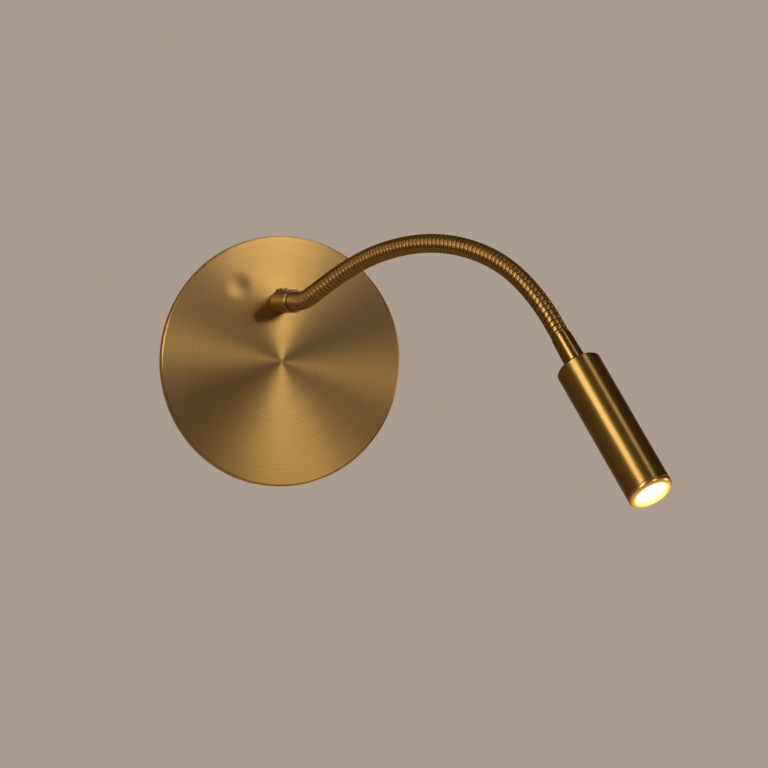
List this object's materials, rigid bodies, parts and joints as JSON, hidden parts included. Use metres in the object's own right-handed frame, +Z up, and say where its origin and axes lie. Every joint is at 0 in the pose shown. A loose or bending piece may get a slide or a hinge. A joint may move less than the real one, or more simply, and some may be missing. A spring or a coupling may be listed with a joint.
{
  "type": "wall reading lamp",
  "caption": "Round brushed brass wall plate with a touch dimple, a ribbed flexible neck and a slim tubular reading head.",
  "frame": {"origin": "centre of the two wall screw holes, on the back face of the wall bracket, which is the wall plane", "axes": "+Z up, +X to the right seen from the room, -Y out of the wall into the room"},
  "size_m": [0.1701, 0.3594, 0.1408],
  "materials": {
    "brass_plate": "circular brushed, satin lacquer",
    "brass_turned": "fine turned, satin",
    "brass_head": "brushed along its length, satin",
    "brass_wound": "wound profile wire, polished crests",
    "zinc_steel": "bright zinc plating",
    "canopy_steel": "black powder coat",
    "driver_plastic": "white moulded plastic",
    "block_plastic": "moulded nylon",
    "circuit_board": "solder mask",
    "aluminium": "turned aluminium",
    "led_yellow": "phosphor window, lit warm white",
    "glass": "frosted glass, lit warm white",
    "reflector_gold": "bright gold anodised",
    "silicone": "silicone",
    "grommet_rubber": "moulded rubber",
    "lead_sheath": "flexible sheath",
    "earth_sheath": "green and yellow wire"
  },
  "bodies": {
    "wall_unit": {"wall_bracket": "zinc_steel", "canopy_screws": "zinc_steel", "canopy": "canopy_steel", "entry_grommet": "grommet_rubber", "front_plate": "brass_plate", "plate_studs": "zinc_steel", "plate_nuts": "zinc_steel", "collar": "brass_turned", "collar_screw": "brass_turned", "threaded_nipple": "zinc_steel", "lock_washer": "zinc_steel", "nipple_nut": "zinc_steel", "driver_case": "driver_plastic", "driver_lid": "driver_plastic", "driver_board": "circuit_board", "driver_screws": "zinc_steel", "terminal_block": "block_plastic", "terminal_screws": "zinc_steel", "block_screws": "zinc_steel", "touch_board": "circuit_board", "touch_standoffs": "zinc_steel", "touch_screws": "zinc_steel", "touch_pin": "zinc_steel", "earth_washer": "zinc_steel", "earth_screw": "zinc_steel", "output_lead": "lead_sheath", "driver_lead": "lead_sheath", "earth_lead": "earth_sheath", "touch_lead": "lead_sheath", "neck_base": "brass_wound"},
    "neck_link_01": {"neck_link_01": "brass_wound"},
    "neck_link_02": {"neck_link_02": "brass_wound"},
    "neck_link_03": {"neck_link_03": "brass_wound"},
    "neck_link_04": {"neck_link_04": "brass_wound"},
    "neck_link_05": {"neck_link_05": "brass_wound"},
    "neck_link_06": {"neck_link_06": "brass_wound"},
    "neck_link_07": {"neck_link_07": "brass_wound"},
    "neck_link_08": {"neck_link_08": "brass_wound"},
    "neck_link_09": {"neck_link_09": "brass_wound"},
    "neck_link_10": {"neck_link_10": "brass_wound"},
    "neck_link_11": {"neck_link_11": "brass_wound"},
    "neck_link_12": {"neck_link_12": "brass_wound"},
    "neck_link_13": {"neck_link_13": "brass_wound"},
    "head": {"neck_end": "brass_wound", "neck_ferrule": "brass_turned", "ferrule_nut": "zinc_steel", "head_tube": "brass_head", "heat_sink": "aluminium", "led_board": "aluminium", "led_chip": "led_yellow", "board_screws": "zinc_steel", "reflector": "reflector_gold", "lens": "glass", "lens_gasket": "silicone", "bezel_ring": "brass_turned", "head_lead": "lead_sheath"}
  },
  "joints": [
    {"name": "neck_root_lift", "type": "hinge", "parent": "wall_unit", "child": "neck_link_01", "pos_m": [0, -0.06057, 0.0335], "axis": [-1, 0, 0], "range_deg": [-12, 12]},
    {"name": "neck_root_swing", "type": "hinge", "parent": "neck_link_01", "child": "neck_link_02", "pos_m": [0.00062, -0.07935, 0.03659], "axis": [-0.032, 0.2947, 0.9551], "range_deg": [-12, 10]},
    {"name": "neck_root_lift_2", "type": "hinge", "parent": "neck_link_02", "child": "neck_link_03", "pos_m": [0.00474, -0.09663, 0.04358], "axis": [-0.9468, -0.3218, 0], "range_deg": [-12, 12]},
    {"name": "neck_root_swing_2", "type": "hinge", "parent": "neck_link_03", "child": "neck_link_04", "pos_m": [0.01032, -0.11343, 0.0508], "axis": [-0.0895, 0.3183, 0.9438], "range_deg": [-12, 10]},
    {"name": "neck_root_lift_3", "type": "hinge", "parent": "neck_link_04", "child": "neck_link_05", "pos_m": [0.01449, -0.13132, 0.0561], "axis": [-0.9805, -0.1967, 0], "range_deg": [-12, 12]},
    {"name": "neck_root_swing_3", "type": "hinge", "parent": "neck_link_05", "child": "neck_link_06", "pos_m": [0.01808, -0.14975, 0.05972], "axis": [-0.0305, 0.1521, 0.9879], "range_deg": [-12, 10]},
    {"name": "neck_root_lift_4", "type": "hinge", "parent": "neck_link_06", "child": "neck_link_07", "pos_m": [0.02231, -0.16824, 0.06218], "axis": [-0.9677, -0.2519, 0], "range_deg": [-12, 12]},
    {"name": "neck_tip_swing", "type": "hinge", "parent": "neck_link_07", "child": "neck_link_08", "pos_m": [0.02765, -0.18657, 0.06337], "axis": [-0.0055, 0.017, 0.9998], "range_deg": [-12, 12]},
    {"name": "neck_tip_lift", "type": "hinge", "parent": "neck_link_08", "child": "neck_link_09", "pos_m": [0.03398, -0.2046, 0.06265], "axis": [-0.935, -0.3547, 0], "range_deg": [-12, 14]},
    {"name": "neck_tip_swing_2", "type": "hinge", "parent": "neck_link_09", "child": "neck_link_10", "pos_m": [0.04089, -0.22215, 0.05957], "axis": [0.0832, -0.209, 0.9744], "range_deg": [-12, 12]},
    {"name": "neck_tip_lift_2", "type": "hinge", "parent": "neck_link_10", "child": "neck_link_11", "pos_m": [0.04741, -0.23924, 0.05403], "axis": [-0.9425, -0.3341, 0], "range_deg": [-12, 14]},
    {"name": "neck_tip_swing_3", "type": "hinge", "parent": "neck_link_11", "child": "neck_link_12", "pos_m": [0.05272, -0.25574, 0.04598], "axis": [0.1407, -0.4682, 0.8723], "range_deg": [-12, 12]},
    {"name": "neck_tip_lift_3", "type": "hinge", "parent": "neck_link_12", "child": "neck_link_13", "pos_m": [0.05738, -0.27086, 0.03526], "axis": [-0.9481, -0.3179, 0], "range_deg": [-12, 14]},
    {"name": "neck_tip_swing_4", "type": "hinge", "parent": "neck_link_13", "child": "head", "pos_m": [0.06212, -0.28358, 0.02182], "axis": [0.283, -0.7112, 0.6435], "range_deg": [-12, 12]}
  ],
  "couplings": [
    {"joint": "neck_root_lift_2", "follows": "neck_root_lift", "ratio": 1},
    {"joint": "neck_root_swing_2", "follows": "neck_root_swing", "ratio": 1},
    {"joint": "neck_root_lift_3", "follows": "neck_root_lift", "ratio": 1},
    {"joint": "neck_root_swing_3", "follows": "neck_root_swing", "ratio": 1},
    {"joint": "neck_root_lift_4", "follows": "neck_root_lift", "ratio": 1},
    {"joint": "neck_tip_swing_2", "follows": "neck_tip_swing", "ratio": 1},
    {"joint": "neck_tip_lift_2", "follows": "neck_tip_lift", "ratio": 1},
    {"joint": "neck_tip_swing_3", "follows": "neck_tip_swing", "ratio": 1},
    {"joint": "neck_tip_lift_3", "follows": "neck_tip_lift", "ratio": 1},
    {"joint": "neck_tip_swing_4", "follows": "neck_tip_swing", "ratio": 1}
  ]
}
